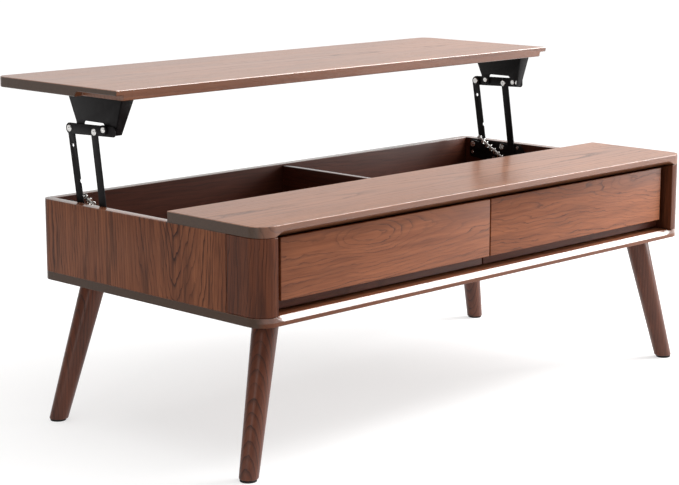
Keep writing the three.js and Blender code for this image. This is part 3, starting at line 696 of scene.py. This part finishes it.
class Growth:
    """A Geometry Nodes tree with named inputs, grown into a plain mesh."""

    def __init__(self, name, inputs):
        self.tree = bpy.data.node_groups.new(name, "GeometryNodeTree")
        face = self.tree.interface
        for way in ("INPUT", "OUTPUT"):
            face.new_socket("Geometry", in_out=way, socket_type="NodeSocketGeometry")
        self.ids = {
            label: face.new_socket(label, in_out="INPUT", socket_type="NodeSocket" + kind).identifier
            for label, kind in inputs.items()
        }
        self.start = self.tree.nodes.new("NodeGroupInput")
        self.end = self.tree.nodes.new("NodeGroupOutput")

    def __getitem__(self, label):
        return self.start.outputs[label]

    def put(self, socket, value):
        if isinstance(value, bpy.types.NodeSocket):
            self.tree.links.new(value, socket)
        elif value is not None:
            socket.default_value = value

    def node(self, kind, settings=None, inputs=None, out=0):
        n = self.tree.nodes.new(kind)
        for key, value in (settings or {}).items():
            setattr(n, key, value)
        for key, value in (inputs or {}).items():
            self.put(n.inputs[key], value)
        return n.outputs[out]

    def named(self, name):
        return self.node("GeometryNodeInputNamedAttribute", {"data_type": "FLOAT"}, {"Name": name})

    def vector(self, x, y, z):
        return self.node("ShaderNodeCombineXYZ", {}, {0: x, 1: y, 2: z})

    def maths(self, op, a, b):
        return self.node("ShaderNodeMath", {"operation": op}, {0: a, 1: b})

    def moved(self, geometry, shift=(0, 0, 0), turn=(0, 0, 0), scale=(1, 1, 1)):
        return self.node(
            "GeometryNodeTransform", {},
            {"Geometry": geometry, "Translation": shift, "Rotation": turn, "Scale": scale},
        )

    def joined(self, *parts):
        n = self.tree.nodes.new("GeometryNodeJoinGeometry")
        for part in parts:
            self.tree.links.new(part, n.inputs[0])
        return n.outputs[0]

    def circle(self, radius, sides):
        return self.node(
            "GeometryNodeCurvePrimitiveCircle", {}, {"Resolution": sides, "Radius": radius},
        )

    def cylinder(self, radius, depth, sides):
        return self.node(
            "GeometryNodeMeshCylinder", {}, {"Vertices": sides, "Radius": radius, "Depth": depth},
        )

    def cone(self, low, high, depth, sides):
        return self.node(
            "GeometryNodeMeshCone", {},
            {"Vertices": sides, "Radius Top": high, "Radius Bottom": low, "Depth": depth},
        )

    def ring(self, radius, wire, sides=24):
        path, profile = self.circle(radius, sides), self.circle(wire, 10)
        return self.node("GeometryNodeCurveToMesh", {}, {"Curve": path, "Profile Curve": profile})

    def finish(self, geometry, material):
        real = self.node("GeometryNodeRealizeInstances", {}, {"Geometry": geometry})
        done = self.node("GeometryNodeSetMaterial", {}, {"Geometry": real, "Material": material})
        self.put(self.end.inputs[0], done)

    def grow(self, mesh, **values):
        """The tree's result on a mesh; values go to the inputs by their names."""
        holder = bpy.data.objects.new(mesh.name, mesh)
        growth = holder.modifiers.new("growth", "NODES")
        growth.node_group = self.tree
        for label, value in values.items():
            growth[self.ids[label.replace("_", " ").title()]] = value
        return settled(holder)


# Riveted heads: a low cone with a raised ring and a button in the middle, on a shank.
heads = Growth("riveted_heads", {"Head Height": "Float", "Finish": "Material"})
cone = heads.cone(1.0, 0.86, 0.8, 32)
button = heads.cone(0.34, 0.26, 0.3, 20)
bead = heads.ring(0.68, 0.11)
head = heads.joined(cone, heads.moved(button, (0, 0, 0.75)), heads.moved(bead, (0, 0, 0.78)))
shank = heads.moved(heads.cylinder(1.0, 1.0, 24), (0, 0, -0.5))
sideways = heads.maths("MULTIPLY", heads.named("facing"), math.pi / 2)
aim = heads.node("FunctionNodeEulerToRotation", {}, {0: heads.vector(0.0, sideways, 0.0)})


def on_points(shape, width, height):
    """The shape at every point of the mesh, facing in or out."""
    return heads.node(
        "GeometryNodeInstanceOnPoints", {},
        {"Points": heads["Geometry"], "Instance": shape, "Rotation": aim,
         "Scale": heads.vector(width, width, height)},
    )


heads.finish(
    heads.joined(
        on_points(head, heads.named("head"), heads["Head Height"]),
        on_points(shank, heads.named("shank"), heads.named("length")),
    ),
    heads["Finish"],
)


def riveted(name, rows, body, nodes=()):
    """Heads on shanks. Each row is (place, layer of the head's seat, +1 where it faces in or -1 out,
    head radius, shank radius, shank length), in mm after the place."""
    mesh = bpy.data.meshes.new(name)
    mesh.from_pydata([(-INNER + layer / 1000, at.x, at.y) for at, layer, *_ in rows], [], [])
    columns = zip(*[row[2:] for row in rows])
    for key, values in zip(("facing", "head", "shank", "length"), columns):
        unit = 1 if key == "facing" else 1000
        layer = mesh.attributes.new(key, "FLOAT", "POINT")
        layer.data.foreach_set("value", [value / unit for value in values])
    grown = heads.grow(mesh, head_height=0.0013, finish=NICKEL)
    pair(name, [grown], NICKEL, body, nodes, merge=False)


front_seat, rear_seat = ((layer + PLATE) * 1000 + HEAD_GAP for layer in (FRONT, REAR))
SPRING_SEAT = 25.7  # mm from the side board to the heads over the spring's eyes
riveted("base_pins_and_screws", [
    (REAR_BASE, rear_seat, 1, 6.5, 4, rear_seat - 1),
    (REAR_BASE, 10.6, 1, 7.5, 7.5, 7.3),
    (FRONT_BASE, front_seat, 1, 6.5, 4, front_seat - 1),
    (ANCHOR, SPRING_SEAT, 1, 4.6, 3, 23.5),
    *[(at, 1.9, 1, 4.4, 2, 1.2) for at in base_screws],
], "case", ["rear_base_pin_{side}", "front_base_pin_{side}"])
riveted("top_pins_and_rivets", [
    (REAR_TOP, COUPLER * 1000 - HEAD_GAP, -1, 6.5, 3.9, 0.5),
    (REAR_TOP, rear_seat, 1, 6.5, 4, rear_seat - 7.8),
    (FRONT_TOP, FRONT * 1000 - HEAD_GAP, -1, 6.5, 3.9, 0.5),
    (FRONT_TOP, 10.8, 1, 6.5, 4, 7.6),
    *[(at, rear_seat, 1, 5.5, 3, rear_seat - 8.2) for at in rivets],
], "lift_top", ["rear_top_pin_{side}", "front_top_pin_{side}"])
riveted("stop_rivet", [(stop, 3.4, -1, 5.6, 3, 1), (stop, 5.9, 1, 5.6, 3, 1)], "front_arm_{side}")
riveted("spring_stud", [(STUD, SPRING_SEAT, 1, 4.6, 3, 12.5)], "rear_arm_{side}")

# Toggle spring: an open coil on a guide rod, a collar and an eye at each end.
springs = Growth("toggle_spring", {
    "Length": "Float", "Turns": "Float", "Coil Radius": "Float", "Wire Radius": "Float",
    "Rod Radius": "Float", "Finish": "Material",
})
LEAD = 0.0145  # from an eye to its collar
length = springs["Length"]
helix = springs.node("GeometryNodeCurveSpiral", {}, {
    "Resolution": 28, "Rotations": springs["Turns"], "Start Radius": springs["Coil Radius"],
    "End Radius": springs["Coil Radius"], "Height": springs.maths("SUBTRACT", length, 2 * LEAD),
})
wire = springs.circle(springs["Wire Radius"], 10)
wound = {"Curve": helix, "Profile Curve": wire, "Fill Caps": True}
coil = springs.moved(springs.node("GeometryNodeCurveToMesh", {}, wound), (0, 0, LEAD))
rod = springs.cylinder(springs["Rod Radius"], springs.maths("SUBTRACT", length, 0.01), 24)
middle = springs.vector(0.0, 0.0, springs.maths("MULTIPLY", length, 0.5))
collar = springs.joined(springs.cylinder(0.0062, 0.0028, 32), springs.ring(0.0060, 0.0009, 32))
eye = springs.moved(springs.ring(0.0045, 0.0014), turn=(0, math.pi / 2, 0))


def at_far_end(shape, short):
    """The shape moved along the spring to that far short of its length."""
    return springs.moved(shape, springs.vector(0.0, 0.0, springs.maths("SUBTRACT", length, short)))


springs.finish(springs.joined(
    coil, springs.moved(rod, middle), springs.moved(collar, (0, 0, LEAD)),
    at_far_end(collar, LEAD), eye, at_far_end(eye, 0.0),
), springs["Finish"])
along = Vector((0, ANCHOR.x - STUD.x, ANCHOR.y - STUD.y))
spring_mesh = springs.grow(
    bpy.data.meshes.new("toggle_spring"), length=along.length, turns=12.0, coil_radius=0.0054,
    wire_radius=0.0011, rod_radius=0.0024, finish=NICKEL,
)
across_way, spring_way = Vector((1, 0, 0)), along.normalized()
turned = Matrix((across_way, spring_way.cross(across_way), spring_way)).transposed().to_4x4()
turned.translation = (-INNER + SPRING, STUD.x, STUD.y)
spring_mesh.transform(turned)
pair("toggle_spring", [spring_mesh], NICKEL, "spring_{side}", ["lift_spring_{side}"],
     merge=False)

# ---------------------------------------------------------------- room
GROUND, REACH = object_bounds()[0].z, 40.0
corners = [(x * REACH, y * REACH, GROUND) for x, y in ((-1, -1), (1, -1), (1, 1), (-1, 1))]
floor_mesh = bpy.data.meshes.new("floor")
floor_mesh.from_pydata(corners, [], [(0, 1, 2, 3)])
floor = bpy.data.objects.new("floor", floor_mesh)
bpy.context.scene.collection.objects.link(floor)
pale = Shade(
    "pale_floor", roughness=0.9, base_color=(0.42, 0.42, 0.42, 1), specular_ior_level=0.0,
    emission_color=(1, 1, 1, 1), emission_strength=0.62,
)
floor_mesh.materials.append(pale.mat)

# Walls of light all round: brightest behind and to the right, dimmer to the left.
studio = bpy.data.worlds.new("studio")
bpy.context.scene.world = studio
studio.use_nodes = True
links, nodes = studio.node_tree.links, studio.node_tree.nodes
sky = nodes["Background"]
toward = nodes.new("ShaderNodeTexCoord")
bright_side = nodes.new("ShaderNodeVectorMath")
bright_side.operation = "DOT_PRODUCT"
bright_side.inputs[1].default_value = (0.97, 0.1, 0.1)
fade = nodes.new("ShaderNodeMapRange")
fade.interpolation_type = "SMOOTHSTEP"
for key, value in {"From Min": -0.7, "From Max": 0.75, "To Min": 0.24, "To Max": 0.9}.items():
    fade.inputs[key].default_value = value
links.new(toward.outputs["Generated"], bright_side.inputs[0])
links.new(bright_side.outputs["Value"], fade.inputs["Value"])
links.new(fade.outputs[0], sky.inputs["Strength"])
sky.inputs["Color"].default_value = (1.0, 0.985, 0.97, 1)


def lamp(name, kind, place, aim, **settings):
    light = bpy.data.lights.new(name, kind)
    for key, value in settings.items():
        setattr(light, key, value)
    holder = bpy.data.objects.new(name, light)
    bpy.context.scene.collection.objects.link(holder)
    holder.location = place
    holder.rotation_euler = (Vector(aim) - Vector(place)).to_track_quat("-Z", "Y").to_euler()
    return holder


KEY_PLACE, KEY_AIM = Vector((2.25, -1.05, 2.2)), Vector((0, -0.35, 0.3))
lamp("ceiling", "SUN", (0.2, -0.25, 3.0), (0, 0, 0), energy=1.45, angle=math.radians(70))
key = lamp("key_softbox", "AREA", KEY_PLACE, KEY_AIM, shape="RECTANGLE", size=2.4, size_y=1.2, energy=125)
lamp("front_softbox", "AREA", (2.5, -1.75, 0.95), (0.3, -0.35, 0.35),
     shape="RECTANGLE", size=1.2, size_y=1.2, energy=62)
lamp("left_strip", "AREA", (-3.3, -1.1, 0.75), (-0.6, -0.33, 0.3),
     shape="RECTANGLE", size=0.28, size_y=1.5, energy=9)
# The softbox's long side runs the way the front edges of the table see it.
out = (KEY_PLACE - KEY_AIM).normalized()
long_way = Vector((1.5, 0.14, -0.43))
long_way = (long_way - out * long_way.dot(out)).normalized()
key.rotation_euler = Matrix((long_way, out.cross(long_way), out)).transposed().to_euler()

YAW, PITCH = math.radians(45.324), math.radians(10.954)
camera = bpy.data.objects.new("camera", bpy.data.cameras.new("camera"))
bpy.context.scene.collection.objects.link(camera)
camera.location = (-2.7186, -2.5760 + CASE_Y, 1.0182)
ahead = Vector((math.sin(YAW) * math.cos(PITCH), math.cos(YAW) * math.cos(PITCH), -math.sin(PITCH)))
camera.rotation_euler = ahead.to_track_quat("-Z", "Y").to_euler()
camera.data.lens, camera.data.sensor_width = 102.2, 36
bpy.context.scene.camera = camera
bpy.context.scene.view_settings.view_transform = "Standard"
